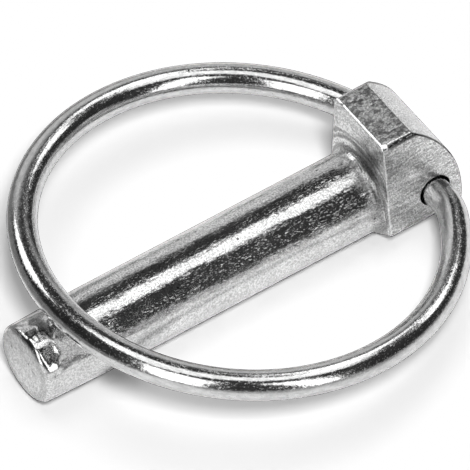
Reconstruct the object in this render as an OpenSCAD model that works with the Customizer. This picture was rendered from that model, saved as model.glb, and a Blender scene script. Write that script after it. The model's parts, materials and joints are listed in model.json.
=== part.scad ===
// Lynch pin: a forged pin with a block head, and a round wire ring hinged in the head.
// Millimetres. It lies on the plane z = 0 with the shank along +X and the ring turning about Y.

/* [Shank] */
// Diameter of the shank
shank_d = 10; // [8:0.5:11]
// Length of the shank from the head's front face to the tip
shank_l = 46; // [36:1:70]
// Length of the slight taper that leads the tip into a hole
lead_l = 10; // [8:1:14]
// How much thinner the shank is at its tip
lead_taper = 0.4; // [0.1:0.1:0.8]
// Radius that rounds the rim of the tip
tip_round = 0.8; // [0.3:0.1:1.5]
// Radius of the fillet between the shank and the head
neck_fillet = 1.2; // [0.6:0.1:1.6]

/* [Head] */
// Height of the head's flat top above the shank's axis
head_rise = 11.2; // [10:0.1:13]
// Length of the head behind its front face
head_l = 9.8; // [9.4:0.1:12]
// Width of the head across its top
head_top_w = 9.8; // [9:0.1:12]
// Width of the head across its lower shoulders
head_base_w = 12.2; // [11.4:0.1:15]
// Depth of the lower shoulders below the shank's axis
shoulder_drop = 2.6; // [2.2:0.1:3.4]
// Width of the flat foot under the head
foot_w = 4.4; // [3:0.2:7]
// How far the foot stands below the shank
foot_proud = 0.1; // [0.05:0.05:0.3]
// Radius of the arc that forms the back of the head
back_r = 13.5; // [11.8:0.1:16]
// Height of the arc's centre above the shank's axis
back_up = 0.1; // [0:0.1:1.5]
// Radius of the lower rear corner of the head
heel_r = 4; // [2:0.2:4.6]
// Radius that rounds the two long edges of the top
side_round = 0.8; // [0.3:0.1:1.2]
// Radius that rounds the front edge of the top
front_round = 0.4; // [0.2:0.1:1]

/* [Cross hole] */
// Distance of the hole's axis behind the head's front face
hole_back = 6.3; // [5.4:0.1:6.8]
// Height of the hole's axis above the shank's axis
hole_up = 0.9; // [0:0.1:2]
// How much wider the hole is than the wire
hole_play = 0.6; // [0.3:0.1:1.2]

/* [Ring] */
// Diameter of the wire
wire_d = 3.5; // [2.8:0.1:4]
// Distance from the tip back to where the ring crosses the shank
tip_lap = 5; // [3:0.5:9]
// How far the ring's circle passes behind the hole's axis
ring_set_back = 1.6; // [1.3:0.1:2.4]
// Radius of the bend that turns each end of the wire into the hole
bend_r = 7; // [4:0.5:8]
// Distance between the wire's two ends inside the hole
end_gap = 1.6; // [1:0.2:4]
// Clearance between the ring and the shank that it lies on
rest_gap = 0.1; // [0.05:0.05:0.3]

/* [Hidden] */
$fn = 96;

// Sizes are worked out from the point where the shank's axis meets the front face of the head.
// lie() then moves both pieces, so that the pin lies on z = 0 with its middle over the origin.
shank_r = shank_d / 2;
tip_r = shank_r - lead_taper / 2;
rim_x = shank_l - tip_round;
wire_r = wire_d / 2;
hole_d = wire_d + hole_play;
foot_z = -shank_r - foot_proud;
// a length that reaches past the whole head, for shapes that cut it
past = 2 * (head_l + head_rise + head_base_w);
// how deep the shank is carried into the head
root = head_l / 4;

// The back of the head is an arc about (back_x, back_up). The heel's arc touches it and the foot.
back_x = back_r - head_l;
heel_z = foot_z + heel_r;
heel_x = back_x - sqrt(pow(back_r - heel_r, 2) - pow(back_up - heel_z, 2));
heel_angle = atan2(heel_z - back_up, heel_x - back_x);

// The sides of the head lean inwards by this angle, and the top's long edges are arcs about
// (+-side_y, side_z).
draft = atan2((head_base_w - head_top_w) / 2, head_rise + shoulder_drop);
side_y = head_top_w / 2 - side_round * (1 - sin(draft)) / cos(draft);
side_z = head_rise - side_round;

// The ring lies in a plane that holds the hole's axis and slopes up onto the shank.
rest_x = shank_l - tip_lap;
rest_z = radius_at(rest_x) + wire_r + rest_gap;
ring_tilt = atan2(rest_z - hole_up, rest_x + hole_back);
ring_reach = norm([rest_x + hole_back, rest_z - hole_up]);
ring_r = rounded((ring_reach + ring_set_back) / 2);
// Each bend touches the ring's circle from inside, and turns the wire onto the hole's axis.
bend_angle = rounded(acos((ring_r - ring_set_back - bend_r) / (ring_r - bend_r)));
bend_back = (ring_r - bend_r) * cos(bend_angle);
bend_side = (ring_r - bend_r) * sin(bend_angle);

// Radius of the shank at a distance from the head.
function radius_at(x) = lookup(x, [[shank_l - lead_l, shank_r], [rim_x, tip_r]]);

// The nearest thousandth.
function rounded(v) = round(v * 1000) / 1000;

// Moves a shape by whole thousandths and then by what is left, so that arcs meet to the last
// digit.
module placed(v) {
    whole = [for (e = v) rounded(e)];
    translate(whole) translate(v - whole) children();
}

// Moves a piece to where it lies.
module lie() {
    translate([(head_l - shank_l) / 2, 0, -foot_z]) children();
}

// Lays a shape that is drawn in X and Y into the plane of X and Z, and gives it a thickness
// along Y, half on each side.
module thick_along_y(t) {
    rotate([90, 0, 0]) linear_extrude(t, center = true) children();
}

// Turns a profile that is drawn as (radius, distance) about the shank's axis.
module turned() {
    rotate([0, 90, 0]) rotate_extrude() children();
}

// Outline of the head from the side: flat front and top, round back and heel.
module side_outline() {
    heel_edge = [back_x, back_up] + past * [cos(heel_angle), sin(heel_angle)];
    intersection() {
        translate([back_x, back_up]) circle(back_r);
        polygon([
            [0, foot_z], [0, head_rise - front_round], [-front_round, head_rise],
            [-past, head_rise], heel_edge, [heel_x, heel_z], [heel_x, foot_z]
        ]);
    }
    placed([heel_x, heel_z]) circle(heel_r);
    translate([-front_round, head_rise - front_round]) circle(front_round);
}

// Everything that lies below the head's top and inside one of its sides, with the edge between
// them rounded. It is drawn about the centre of that edge's arc.
module side_and_top() {
    placed([side_y, side_z]) {
        circle(side_round);
        translate([-past, -past]) square([past, past + side_round]);
        rotate(draft) translate([-past, -past]) square([past + side_round, past]);
    }
}

// Outline of the head from the front: sides that widen downwards, then slope in to the foot.
module front_outline() {
    slope = [head_base_w - foot_w, 2 * (-shoulder_drop - foot_z)] / 2;
    flare = [foot_w / 2, foot_z] + slope * past / slope.y;
    intersection() {
        side_and_top();
        mirror([1, 0]) side_and_top();
        polygon([[-foot_w / 2, foot_z], [foot_w / 2, foot_z], flare, [-flare.x, flare.y]]);
    }
}

// The front outline as a bar from x0 to x1.
module front_bar(x0, x1) {
    translate([x0, 0, 0]) rotate([90, 0, 90]) linear_extrude(x1 - x0) front_outline();
}

// The forged block of the head, before its hole is drilled.
module head_block() {
    intersection() {
        thick_along_y(past) side_outline();
        front_bar(-past, 0);
    }
}

// The shank with its taper and rounded rim, carried into the head.
module shank() {
    turned() {
        polygon([
            [0, -root], [shank_r, -root], [shank_r, shank_l - lead_l], [tip_r, rim_x], [0, rim_x]
        ]);
        square([tip_r - tip_round, shank_l]);
        translate([tip_r - tip_round, rim_x]) intersection() {
            circle(tip_round);
            square(tip_round);
        }
    }
}

// The fillet at the shank's neck, kept within the outline of the head.
module neck() {
    inner = shank_r - tip_round;
    intersection() {
        turned() difference() {
            translate([inner, -root]) square([neck_fillet + tip_round, root + neck_fillet]);
            translate([shank_r + neck_fillet, neck_fillet]) circle(neck_fillet);
        }
        front_bar(-root, neck_fillet);
    }
}

module cross_hole() {
    translate([-hole_back, 0, hole_up]) rotate([90, 0, 0]) cylinder(h = past, d = hole_d, center = true);
}

module pin() {
    color("silver") lie() difference() {
        union() {
            head_block();
            neck();
            shank();
        }
        cross_hole();
    }
}

// A length of the ring's wire, bent to a radius about Z from one angle through another.
module bent_wire(radius, from, through) {
    rotate_extrude(angle = through, start = from) translate([radius, 0]) circle(d = wire_d);
}

// One end of the wire, drawn about the ring's centre: a bend, and the leg that lies in the hole.
module wire_end() {
    placed([-bend_back, bend_side, 0]) {
        bent_wire(bend_r, 180 - bend_angle, bend_angle);
        translate([-bend_r, 0, 0]) rotate([90, 0, 0]) cylinder(h = bend_side - end_gap / 2, d = wire_d);
    }
}

module ring() {
    color("gainsboro") lie() translate([-hole_back, 0, hole_up]) rotate([0, -ring_tilt, 0])
        translate([bend_back + bend_r, 0, 0]) {
            bent_wire(ring_r, bend_angle - 180, 360 - 2 * bend_angle);
            wire_end();
            mirror([0, 1, 0]) wire_end();
        }
}

pin();
ring();
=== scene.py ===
import json
import math
from types import SimpleNamespace

import bpy
from mathutils import Matrix, Quaternion, Vector


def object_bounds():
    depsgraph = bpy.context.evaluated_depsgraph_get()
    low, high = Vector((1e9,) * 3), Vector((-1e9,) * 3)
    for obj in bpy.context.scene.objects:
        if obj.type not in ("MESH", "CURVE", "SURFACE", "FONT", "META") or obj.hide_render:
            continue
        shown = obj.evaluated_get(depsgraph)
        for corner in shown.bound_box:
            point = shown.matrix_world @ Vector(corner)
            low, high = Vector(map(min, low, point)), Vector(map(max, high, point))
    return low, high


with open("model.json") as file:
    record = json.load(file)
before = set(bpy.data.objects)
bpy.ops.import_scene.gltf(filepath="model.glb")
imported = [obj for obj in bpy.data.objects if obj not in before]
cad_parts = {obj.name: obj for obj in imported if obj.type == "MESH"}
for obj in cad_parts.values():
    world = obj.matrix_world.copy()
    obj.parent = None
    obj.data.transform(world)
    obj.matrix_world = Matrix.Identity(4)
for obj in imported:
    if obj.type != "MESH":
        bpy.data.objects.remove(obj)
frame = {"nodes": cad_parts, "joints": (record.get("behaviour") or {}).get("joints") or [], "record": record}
cad_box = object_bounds()
pin = frame["nodes"]["pin"]
ring = frame["nodes"]["ring"]
scene = bpy.context.scene

# The materials of the pin and the ring work in mm, in the CAD's frame. All else is in metres.
MM = 1000.0


def in_mm(place):
    return tuple(round(v * MM, 3) for v in place)


# The pin, in mm
mounts = {mount["name"]: in_mm(mount["pos_m"]) for mount in frame["record"]["mounts"]}
AXIS_Z = mounts["shank"][2]  # height of the shank's axis
HEAD_FRONT = mounts["head_front"][0]  # where the shank leaves the head
TIP, _, HEAD_TOP = in_mm(cad_box[1])  # end of the shank, and height of the head's flat top
HEAD_HALF = 6.10  # half of the head's width at the floor
HEAD_DRAW_IN = -0.0736  # change of that half width for each mm of height
HEAD_CORNER = (HEAD_FRONT - 0.25, 4.65, HEAD_TOP - 0.2)  # near front corner of the top
SHANK_CHANGE = (-12.0, -4.0)  # the zinc is coarser on the head's side of these places
NECK_MARKS = (7.5, 9.0)  # distances from the axis between which the turning marks weaken

# The ring, in mm
HINGE = in_mm(frame["joints"][0]["pos_m"])  # middle of the cross hole
RING_TILT = 7.04  # degrees
RING_R = 24.63  # to the middle of the wire
RING_MID = RING_R - 1.6  # from the cross hole to the ring's centre

# The radius that softens the edges, and the heights of the bumps, in metres
EDGE_RADIUS = 0.00038
GRAIN_HEIGHT = 0.00002
WAVE_HEIGHT = 0.00005
FORGED_HEIGHT = 0.00009
DENT_HEIGHT = 0.00060
TURNED_HEIGHT = 0.00016
BRUSHED_HEIGHT = 0.00003
WIRE_HEIGHT = 0.00001


# ---------------------------------------------------------------- node tools
class Nodes:
    """A short way to write node trees. A call that makes a node gives back its output."""

    def __init__(self, tree):
        self.tree = tree
        tree.nodes.clear()

    def add(self, kind, **values):
        node = self.tree.nodes.new(kind)
        for key, value in values.items():
            setattr(node, key, value)
        return node

    def put(self, socket, value):
        if isinstance(value, bpy.types.NodeSocket):
            self.tree.links.new(value, socket)
        else:
            socket.default_value = value

    def put_all(self, node, **values):
        """Sets sockets by name; an underscore stands for the space in the name."""
        for name, value in values.items():
            self.put(node.inputs[name.replace("_", " ")], value)

    def math(self, operation, *args, clamp=False):
        node = self.add("ShaderNodeMath", operation=operation, use_clamp=clamp)
        for socket, value in zip(node.inputs, args):
            self.put(socket, value)
        return node.outputs[0]

    def plus(self, a, b):
        return self.math("ADD", a, b)

    def minus(self, a, b, clamp=False):
        return self.math("SUBTRACT", a, b, clamp=clamp)

    def times(self, first, *others):
        for other in others:
            first = self.math("MULTIPLY", first, other)
        return first

    def most(self, first, *others):
        for other in others:
            first = self.math("MAXIMUM", first, other)
        return first

    def length(self, a, b):
        return self.math("SQRT", self.plus(self.times(a, a), self.times(b, b)))

    def vector(self, operation, *args):
        node = self.add("ShaderNodeVectorMath", operation=operation)
        for socket, value in zip(node.inputs, args):
            self.put(socket, value)
        return node.outputs["Value" if operation in ("DOT_PRODUCT", "LENGTH") else "Vector"]

    def scale(self, vector, factor):
        node = self.add("ShaderNodeVectorMath", operation="SCALE")
        self.put(node.inputs[0], vector)
        self.put(node.inputs["Scale"], factor)
        return node.outputs["Vector"]

    def stretch(self, vector, factor):
        """Draws a pattern out along X."""
        return self.vector("MULTIPLY", vector, (factor, 1.0, 1.0))

    def ramp(self, value, low, high, to_low=0.0, to_high=1.0, smooth=True):
        kind = "SMOOTHSTEP" if smooth else "LINEAR"
        node = self.add("ShaderNodeMapRange", interpolation_type=kind)
        self.put_all(node, Value=value, From_Min=low, From_Max=high, To_Min=to_low, To_Max=to_high)
        return node.outputs[0]

    def hill(self, value, low, rise, fall, high):
        """0 up to low, 1 from rise to fall, and 0 again from high on."""
        return self.times(self.ramp(value, low, rise), self.ramp(value, fall, high, 1.0, 0.0))

    def split(self, vector):
        node = self.add("ShaderNodeSeparateXYZ")
        self.put(node.inputs[0], vector)
        return node.outputs[0], node.outputs[1], node.outputs[2]

    def join(self, x, y, z):
        node = self.add("ShaderNodeCombineXYZ")
        for socket, value in zip(node.inputs, (x, y, z)):
            self.put(socket, value)
        return node.outputs[0]

    def noise(self, vector, scale, detail=2.0, rough=0.5):
        node = self.add("ShaderNodeTexNoise", noise_dimensions="3D")
        self.put_all(node, Vector=vector, Scale=scale, Detail=detail, Roughness=rough)
        return node.outputs[0]

    def cells(self, vector, scale):
        node = self.add("ShaderNodeTexVoronoi", voronoi_dimensions="3D", feature="F1")
        self.put_all(node, Vector=vector, Scale=scale)
        return node.outputs

    def mix(self, factor, a, b):
        node = self.add("ShaderNodeMix", data_type="RGBA")
        self.put_all(node, Factor=factor, A=a, B=b)
        return node.outputs["Result"]

    def greys(self, value, low, high, dark, light):
        """A grey that follows a pattern."""
        return self.mix(self.ramp(value, low, high), grey(dark), grey(light))

    def bump(self, height, distance, normal=None):
        node = self.add("ShaderNodeBump")
        self.put_all(node, Height=height, Distance=distance)
        if normal is not None:
            self.put(node.inputs["Normal"], normal)
        return node.outputs[0]

    def facets(self, vector, normal, scale, small, large):
        """Tilts the normal a little in each crystal of the zinc, and far in a few of them."""
        random = self.cells(vector, scale)["Color"]
        way = self.vector("MULTIPLY_ADD", random, (2.0, 2.0, 2.0), (-1.0, -1.0, -1.0))
        square = self.vector("MULTIPLY", way, way)
        far = self.vector("MULTIPLY", self.vector("MULTIPLY", square, square), way)
        tilt = self.vector("ADD", self.scale(way, small), self.scale(far, large))
        return self.vector("NORMALIZE", self.vector("ADD", normal, tilt))

    def surface(self, shader):
        self.put(self.add("ShaderNodeOutputMaterial").inputs["Surface"], shader.outputs[0])

    def metal(self, colour, rough, normal):
        shader = self.add("ShaderNodeBsdfPrincipled")
        shader.inputs["Metallic"].default_value = 1.0
        self.put_all(shader, Base_Color=colour, Roughness=rough, Normal=normal)
        self.surface(shader)


def new_material(name):
    material = bpy.data.materials.new(name)
    material.use_nodes = True
    return material, Nodes(material.node_tree)


def grey(level):
    return (level, level, level, 1.0)


# ---------------------------------------------------------------- the pin
def pin_places(n):
    """Each point's place on the pin, and how far it belongs to each part with its own look."""
    at = SimpleNamespace()
    coord = n.add("ShaderNodeTexCoord").outputs
    at.p = n.vector("MULTIPLY", coord["Object"], (MM, MM, MM))
    at.x, at.y, at.z = n.split(at.p)
    up_x, up_y, up_z = n.split(coord["Normal"])
    at.sideways = n.math("ABSOLUTE", up_y)
    at.reach = n.length(at.y, n.minus(at.z, AXIS_Z))
    near_top = n.ramp(at.z, HEAD_TOP - 1.8, HEAD_TOP - 0.8)

    at.shank = n.ramp(at.x, HEAD_FRONT + 1.0, HEAD_FRONT + 2.6)
    at.neck = n.times(
        n.ramp(at.x, HEAD_FRONT + 2.6, HEAD_FRONT + 0.8),
        n.ramp(at.x, HEAD_FRONT - 0.5, HEAD_FRONT - 0.1),
    )
    at.top = n.times(n.ramp(up_z, 0.960, 0.995), near_top)
    at.side = n.times(
        n.ramp(at.sideways, 0.75, 0.9),
        n.ramp(at.x, HEAD_FRONT + 0.5, HEAD_FRONT - 0.3),
    )
    at.tip = n.times(n.ramp(up_x, 0.75, 0.95), n.ramp(at.x, TIP - 1.3, TIP - 0.5))
    at.battered = n.ramp(at.x, TIP - 5.0, TIP - 1.5)

    # how far the rounded edges turn away from the faces
    soft = n.add("ShaderNodeBevel", samples=8)
    n.put(soft.inputs["Radius"], EDGE_RADIUS)
    at.soft_normal = soft.outputs[0]
    true_normal = n.add("ShaderNodeNewGeometry").outputs["Normal"]
    at.edge = n.minus(1.0, n.vector("DOT_PRODUCT", at.soft_normal, true_normal))
    at.worn = n.times(
        n.ramp(at.edge, 0.02, 0.12),
        n.ramp(n.noise(at.p, 0.9), 0.35, 0.55, 0.45, 1.0),
    )

    # bright and ragged: the top's front edge, and its near corner
    front_edge = n.times(
        n.ramp(n.times(up_x, up_z), 0.38, 0.46),
        near_top,
        n.ramp(at.x, HEAD_FRONT + 0.3, HEAD_FRONT + 0.1),
    )
    from_corner = n.vector("LENGTH", n.vector("SUBTRACT", at.p, HEAD_CORNER))
    at.ragged = n.most(
        n.times(front_edge, n.ramp(n.noise(at.p, 1.3), 0.25, 0.42)),
        n.ramp(from_corner, 0.50, 0.36),
    )

    # painted dark reflection: the edges along the head's sides, behind its front, and a band just under
    # them.
    # inset is how far a point is from the plane of its side.
    inset = n.minus(n.math("MULTIPLY_ADD", at.z, HEAD_DRAW_IN, HEAD_HALF), n.math("ABSOLUTE", at.y))
    rim = n.times(
        n.most(
            n.ramp(at.edge, 0.008, 0.04),
            n.times(n.ramp(inset, 0.42, 0.20), n.ramp(at.sideways, 0.8, 0.4)),
        ),
        n.ramp(at.x, HEAD_FRONT - 2.5, HEAD_FRONT - 3.5),
        n.ramp(at.z, 8.5, 11.0),
    )
    under_rim = n.times(
        n.ramp(at.z, HEAD_TOP - 0.80, HEAD_TOP - 0.45),
        n.ramp(at.sideways, 0.6, 0.9),
        n.ramp(at.x, HEAD_FRONT - 0.4, HEAD_FRONT - 1.0, 0.0, 0.85),
    )
    at.rim = n.most(rim, under_rim)
    return at


def pin_patterns(n, at):
    """The patterns that more than one part of the pin's material follows."""
    made = SimpleNamespace()
    # the zinc's crystals, drawn out a little along the shank
    made.crystals = n.join(n.times(n.plus(at.x, n.times(at.y, 0.3)), 0.4), at.y, at.z)
    made.grain = n.noise(made.crystals, 1.6, 5.0, 0.72)
    # rough skin of the forging on the flat top of the head
    skewed = n.times(n.plus(at.x, n.times(at.y, 0.25)), 0.7)
    made.forged = n.noise(n.join(skewed, n.times(at.y, 1.25), at.z), 1.7, 2.0, 0.65)
    # turned rings round the neck
    uneven = n.plus(at.reach, n.times(n.noise(at.p, 0.5, 1.0), 0.9))
    made.turned = n.noise(n.join(uneven, n.times(at.y, 0.06), 0.0), 2.4, 2.0, 0.6)
    # brushing on the sides of the head
    slant = n.join(n.times(at.x, 0.22), at.y, n.plus(at.z, n.times(at.x, 0.06)))
    made.brushed = n.noise(slant, 3.2, 2.0, 0.6)
    return made


def pin_normal(n, at, made):
    waves = n.noise(n.stretch(at.p, 0.35), 1.1, 1.0)
    dents_start = (7.0, 5.2, 0.6)  # picks the place in the noise, and so where the dents lie
    dents = n.noise(n.vector("ADD", at.p, dents_start), 0.42, 0.8, 0.45)
    normal = at.soft_normal
    for height, distance in (
        (made.grain, GRAIN_HEIGHT),
        (n.times(waves, at.shank), WAVE_HEIGHT),
        (n.times(made.forged, at.top), FORGED_HEIGHT),
        (n.times(dents, at.battered), DENT_HEIGHT),
        (n.times(made.turned, at.neck, n.ramp(at.reach, *NECK_MARKS, 1.0, 0.2)), TURNED_HEIGHT),
        (n.times(made.brushed, at.side), BRUSHED_HEIGHT),
    ):
        normal = n.bump(height, distance, normal)

    # the ragged edge faces one way, so that it shines all along
    edge_way = (0.44, -0.14, 0.89)
    kept = n.scale(normal, n.minus(1.0, at.ragged))
    normal = n.vector("NORMALIZE", n.vector("ADD", kept, n.scale(edge_way, at.ragged)))

    coarse = n.times(
        n.ramp(at.x, *SHANK_CHANGE, 1.0, 0.45),
        n.ramp(at.side, 0.0, 1.0, 1.0, 0.4),
        n.ramp(at.battered, 0.0, 1.0, 1.0, 0.0),
    )
    normal = n.facets(made.crystals, normal, 7.5, 0.016, n.times(coarse, 0.055))
    return n.facets(made.crystals, normal, 4.2, 0.0, n.times(coarse, 0.05))


def pin_colour(n, at, made):
    """Clean zinc, duller where it was only forged or turned, dark in the pits."""
    base = n.greys(n.noise(at.p, 0.35, 3.0, 0.6), 0.3, 0.7, 0.70, 0.82)
    streaks = n.ramp(n.noise(n.stretch(at.p, 0.08), 2.2, 3.0, 0.6), 0.62, 0.35)
    base = n.mix(n.times(streaks, at.shank, 0.15), base, grey(0.45))
    base = n.scale(base, n.ramp(at.x, -15.0, -3.0, 0.98, 1.09))

    # painted reflections of the neck's curve: three rings round it, two dark and one a painted highlight,
    # at uneven distances from the axis
    drift = n.minus(n.noise(at.p, 0.35), 0.5)
    wobble = n.plus(at.reach, n.times(drift, 0.9))
    painted_dark_reflection_rings = n.most(n.hill(wobble, 5.2, 5.5, 5.7, 6.05), n.hill(wobble, 6.5, 6.75, 6.9, 7.3))
    painted_highlight_ring = n.hill(wobble, 5.85, 6.1, 6.3, 6.55)

    # the tip's face is darker at its rim and in its upper part
    tip_rim = n.ramp(at.reach, 3.0, 3.9, 0.0, 0.35)
    tip_upper = n.ramp(n.minus(at.z, n.times(at.y, 0.5)), 3.0, 8.5, 0.0, 0.5)
    pits = n.minus(1.0, n.ramp(n.cells(at.p, 0.42)["Distance"], 0.050, 0.080))

    for weight, colour in (
        (
            n.times(at.neck, n.ramp(at.reach, *NECK_MARKS, 0.80, 0.30)),
            n.greys(made.turned, 0.38, 0.62, 0.24, 0.88),
        ),
        # the neck's painted dark reflection rings and its painted highlight ring
        (n.times(at.neck, painted_dark_reflection_rings, 0.36), grey(0.12)),
        (n.times(at.neck, painted_highlight_ring, 0.6), grey(0.95)),
        (n.times(at.side, 0.8), n.greys(made.brushed, 0.36, 0.64, 0.46, 0.84)),
        (n.times(at.top, 0.9), n.greys(made.forged, 0.38, 0.62, 0.22, 0.90)),
        (n.times(at.tip, 0.7), n.greys(made.grain, 0.35, 0.65, 0.58, 0.78)),
        (n.times(at.tip, tip_rim), grey(0.35)),
        (n.times(at.tip, tip_upper), grey(0.30)),
        (n.times(pits, 0.85), grey(0.05)),
    ):
        base = n.mix(weight, base, colour)

    # fine mottling, weaker on the shank
    darkest = n.ramp(at.shank, 0.0, 1.0, 0.55, 0.70)
    lightest = n.ramp(at.shank, 0.0, 1.0, 1.35, 1.20)
    base = n.scale(base, n.ramp(n.noise(at.p, 5.5, 1.0), 0.30, 0.70, darkest, lightest))

    # worn edges are lighter, but not under the painted dark reflection on the head's side edges
    bright = n.most(n.minus(at.worn, at.rim, clamp=True), at.ragged)
    base = n.mix(n.times(bright, 0.8), base, grey(0.92))
    # the painted dark reflection along the head's side edges, near black
    return n.mix(n.times(at.rim, 0.9), base, grey(0.06))


def pin_roughness(n, at, made):
    """Smooth zinc with rougher specks, most of them near the head, and a duller head and tip."""
    patches = n.ramp(
        n.noise(n.stretch(at.p, 0.35), 0.5), 0.38, 0.62,
        n.ramp(at.x, *SHANK_CHANGE, 0.20, 0.04),
        n.ramp(at.x, *SHANK_CHANGE, 0.36, 0.22),
    )
    specks = n.times(n.ramp(n.noise(made.crystals, 7.0, 1.0), 0.50, 0.72), patches)
    rough = n.plus(n.ramp(made.grain, 0.3, 0.7, 0.08, 0.14), specks)
    rough = n.plus(rough, n.times(n.most(at.neck, at.side, at.tip), 0.18))
    rough = n.plus(rough, n.times(at.top, 0.24))
    return n.minus(rough, n.times(at.worn, 0.05), clamp=True)


def pin_material():
    material, n = new_material("zinc_on_forged_steel")
    at = pin_places(n)
    made = pin_patterns(n, at)
    n.metal(pin_colour(n, at, made), pin_roughness(n, at, made), pin_normal(n, at, made))
    return material


# ---------------------------------------------------------------- the ring
def wire_material():
    material, n = new_material("drawn_spring_wire")
    place = n.vector("MULTIPLY", n.add("ShaderNodeTexCoord").outputs["Object"], (MM, MM, MM))
    x, y, z = n.split(n.vector("SUBTRACT", place, HINGE))

    # x and z in the ring's own plane, and from there the way along the wire
    c, s = math.cos(math.radians(RING_TILT)), math.sin(math.radians(RING_TILT))
    flat_x = n.minus(n.plus(n.times(x, c), n.times(z, s)), RING_MID)
    flat_z = n.minus(n.times(z, c), n.times(x, s))
    along = n.times(n.math("ARCTAN2", y, flat_x), RING_R)
    radius = n.length(flat_x, y)

    def drawn(factor):
        """A place on the wire, with the pattern drawn out along it."""
        return n.join(n.times(along, factor), radius, flat_z)

    lines = n.noise(drawn(0.10), 1.9, 3.0, 0.55)
    spots = n.noise(drawn(0.45), 2.0, 4.0, 0.65)
    crystals = drawn(0.6)
    rubbed = n.ramp(n.noise(crystals, 0.5, 3.0, 0.6), 0.42, 0.60)

    normal = n.bump(lines, WIRE_HEIGHT)
    normal = n.bump(spots, WIRE_HEIGHT, normal)
    normal = n.facets(crystals, normal, 7.0, 0.006, n.ramp(rubbed, 0.0, 1.0, 0.01, 0.04))

    # painted shade and rubbed wear, darker where the wire leaves the hole
    shade_and_wear_by_hole = n.times(
        n.ramp(n.math("ABSOLUTE", y), 9.0, 5.5),
        n.ramp(flat_x, -18.0, -20.0),
    )
    base = n.greys(spots, 0.32, 0.68, 0.60, 0.80)
    # darker near the hole: painted shade and rubbed wear
    base = n.mix(n.times(shade_and_wear_by_hole, 0.6), base, n.greys(spots, 0.40, 0.60, 0.26, 0.60))

    specks = n.ramp(n.noise(crystals, 6.0, 1.0), 0.50, 0.74)
    rough = n.plus(n.ramp(spots, 0.3, 0.7, 0.11, 0.16), n.times(specks, 0.18))
    n.metal(base, rough, normal)
    return material


for node, material in ((pin, pin_material()), (ring, wire_material())):
    for slot in node.material_slots:
        slot.material = material


# ---------------------------------------------------------------- the camera
def direction(az, el):
    """The unit vector towards an azimuth from +X and an elevation, in degrees."""
    az, el = math.radians(az), math.radians(el)
    return Vector((math.cos(el) * math.cos(az), math.cos(el) * math.sin(az), math.sin(el)))


CAMERA_AZIMUTH, CAMERA_ELEVATION, CAMERA_ROLL = 57.454, 48.698, -2.152  # degrees
CAMERA_DISTANCE = 2.234
CAMERA_AIM = Vector((-0.00147, -0.00083, 0.00731))

back = direction(CAMERA_AZIMUTH, CAMERA_ELEVATION)
turn = Quaternion((0.0, 0.0, 1.0), math.radians(CAMERA_ROLL))
camera = bpy.data.objects.new("camera", bpy.data.cameras.new("camera"))
camera.data.sensor_width = 36.0  # mm
camera.data.lens = 1512.2  # mm
camera.data.clip_start, camera.data.clip_end = 0.2, 20.0
camera.rotation_mode = "QUATERNION"
camera.rotation_quaternion = (-back).to_track_quat("-Z", "Y") @ turn
camera.location = CAMERA_AIM + back * CAMERA_DISTANCE
scene.collection.objects.link(camera)
scene.camera = camera


# ---------------------------------------------------------------- the studio
def mesh_object(name, points, faces, material):
    mesh = bpy.data.meshes.new(name)
    mesh.from_pydata(points, [], faces)
    mesh.materials.append(material)
    obj = bpy.data.objects.new(name, mesh)
    scene.collection.objects.link(obj)
    return obj


def floor_material():
    """White. Further out it is grey, which only shows as the darker floor in the metal."""
    material, n = new_material("white_floor")
    place = n.add("ShaderNodeTexCoord").outputs["Object"]
    ahead = n.split(place)[1]
    left = n.vector("DOT_PRODUCT", place, tuple(direction(-50, 0)))
    colour = n.greys(ahead, 0.025, 0.085, 0.90, 0.40)
    shader = n.add("ShaderNodeBsdfDiffuse")
    n.put(shader.inputs["Color"], n.mix(n.ramp(left, 0.026, 0.044), colour, grey(0.22)))
    n.surface(shader)
    return material


def wall_material():
    """Nearly black above, lighter at the foot and on the side away from the camera."""
    material, n = new_material("dark_walls")
    way = n.vector("NORMALIZE", n.add("ShaderNodeTexCoord").outputs["Object"])
    level_way = n.vector("NORMALIZE", n.vector("MULTIPLY", way, (1.0, 1.0, 0.0)))
    height = n.split(way)[2]
    away = n.vector("DOT_PRODUCT", level_way, tuple(direction(-114, 0)))
    right = n.vector("DOT_PRODUCT", level_way, tuple(direction(-40, 0)))
    foot = n.ramp(height, 0.0, 0.17, 0.22, 0.03)
    open_side = n.times(n.ramp(away, 0.72, 0.96), n.ramp(height, 0.70, 0.42), 0.62)
    shader = n.add("ShaderNodeEmission")
    level = n.times(n.most(foot, open_side), n.ramp(right, 0.55, 0.85, 1.0, 0.70))
    n.put(shader.inputs["Strength"], level)
    n.surface(shader)
    return material


def dome(radius, segments, rows):
    """Points and faces of a half sphere over the floor."""
    points = [
        direction(360 * i / segments, 90 * j / rows) * radius
        for j in range(rows + 1)
        for i in range(segments)
    ]
    faces = []
    for j in range(rows):
        for i in range(segments):
            k = (i + 1) % segments
            low, high = j * segments, (j + 1) * segments
            faces.append((low + i, low + k, high + k, high + i))
    return points, faces


FLOOR_HALF = 1.5
floor_corners = [
    (x * FLOOR_HALF, y * FLOOR_HALF, 0.0) for x, y in ((-1, -1), (1, -1), (1, 1), (-1, 1))
]
floor = mesh_object("floor", floor_corners, [(0, 1, 2, 3)], floor_material())
floor.is_shadow_catcher = True

# walls round the set, which only the metal sees
walls = mesh_object(
    "studio_walls", *dome(radius=1.6, segments=48, rows=12), wall_material()
)
walls.visible_camera = False
walls.visible_diffuse = False
walls.visible_transmission = False
walls.visible_volume_scatter = False
walls.visible_shadow = False


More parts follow.
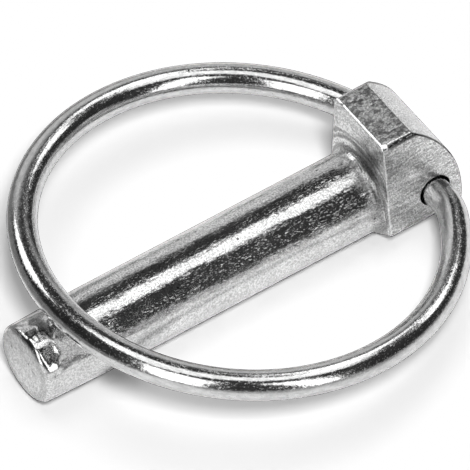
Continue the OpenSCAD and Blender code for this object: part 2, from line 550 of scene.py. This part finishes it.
def softbox(
    name, az, el, length, breadth, radiance,
    axis=(0.0, 0.0, 1.0), shape="RECTANGLE", distance=1.0,
):
    """An area light that faces the object and fills length x breadth degrees of its sky.

    The metal shows it, and it doesn't light the floor. Its length runs as near to the axis
    as it can, and its power is that of a rectangle, also for another shape.
    """
    light = bpy.data.lights.new(name, "AREA")
    light.shape = shape
    light.size = 2 * distance * math.tan(math.radians(length / 2))
    light.size_y = 2 * distance * math.tan(math.radians(breadth / 2))
    light.energy = radiance * math.pi * light.size * light.size_y
    lamp = bpy.data.objects.new(name, light)
    way = direction(az, el)
    along = (Vector(axis) - way * way.dot(Vector(axis))).normalized()
    facing = Matrix((along, way.cross(along), way)).transposed().to_4x4()
    lamp.matrix_world = Matrix.Translation(way * distance) @ facing
    lamp.visible_camera = False
    lamp.visible_diffuse = False
    scene.collection.objects.link(lamp)
    return lamp


def shadow_lamp(name, az, el, width, radiance):
    """A square softbox that lights the floor and throws the shadow. The metal doesn't show it."""
    lamp = softbox(name, az, el, width, width, radiance, distance=2.0)
    lamp.visible_diffuse = True
    lamp.visible_glossy = False
    return lamp


# azimuth, elevation, length and breadth in degrees, then the radiance
softbox("softbox_top", 165.0, 84.0, 56.0, 26.0, 1.3, axis=(0.96, -0.25, 0.0))
softbox(
    "softbox_top_left", -153.5, 54.5, 30.0, 10.0, 1.5,
    axis=(-0.133, -0.911, -0.389), shape="ELLIPSE",
)
softbox("softbox_top_right", -72.0, 71.0, 28.0, 12.0, 1.4, axis=(1.0, 0.0, 0.0))
softbox("softbox_back", -69.0, 34.5, 27.0, 24.0, 2.0)
softbox("softbox_side", 32.0, 31.0, 56.0, 27.0, 2.0)
softbox("softbox_front", 96.0, 30.0, 54.0, 17.0, 2.0)
softbox("softbox_left", -168.5, 40.0, 26.0, 10.0, 2.0, axis=(0.5, -0.87, 0.0))
shadow_lamp("key", 65.0, 56.0, 10.0, 70.0)
shadow_lamp("overhead", -122.0, 80.0, 40.0, 2.0)

# the world is white to the camera, gloss and glass, and a weak light to the rest
FILL_LIGHT = 0.14
world = bpy.data.worlds.new("white")
scene.world = world
world.use_nodes = True
n = Nodes(world.node_tree)
path = n.add("ShaderNodeLightPath").outputs
seen = n.most(path["Is Camera Ray"], path["Is Glossy Ray"], path["Is Transmission Ray"])
sky = n.add("ShaderNodeBackground")
n.put(sky.inputs["Color"], grey(1.0))
n.put(sky.inputs["Strength"], n.ramp(seen, 0.0, 1.0, FILL_LIGHT, 1.0, smooth=False))
n.put(n.add("ShaderNodeOutputWorld").inputs["Surface"], sky.outputs[0])

scene.view_settings.view_transform = "Standard"
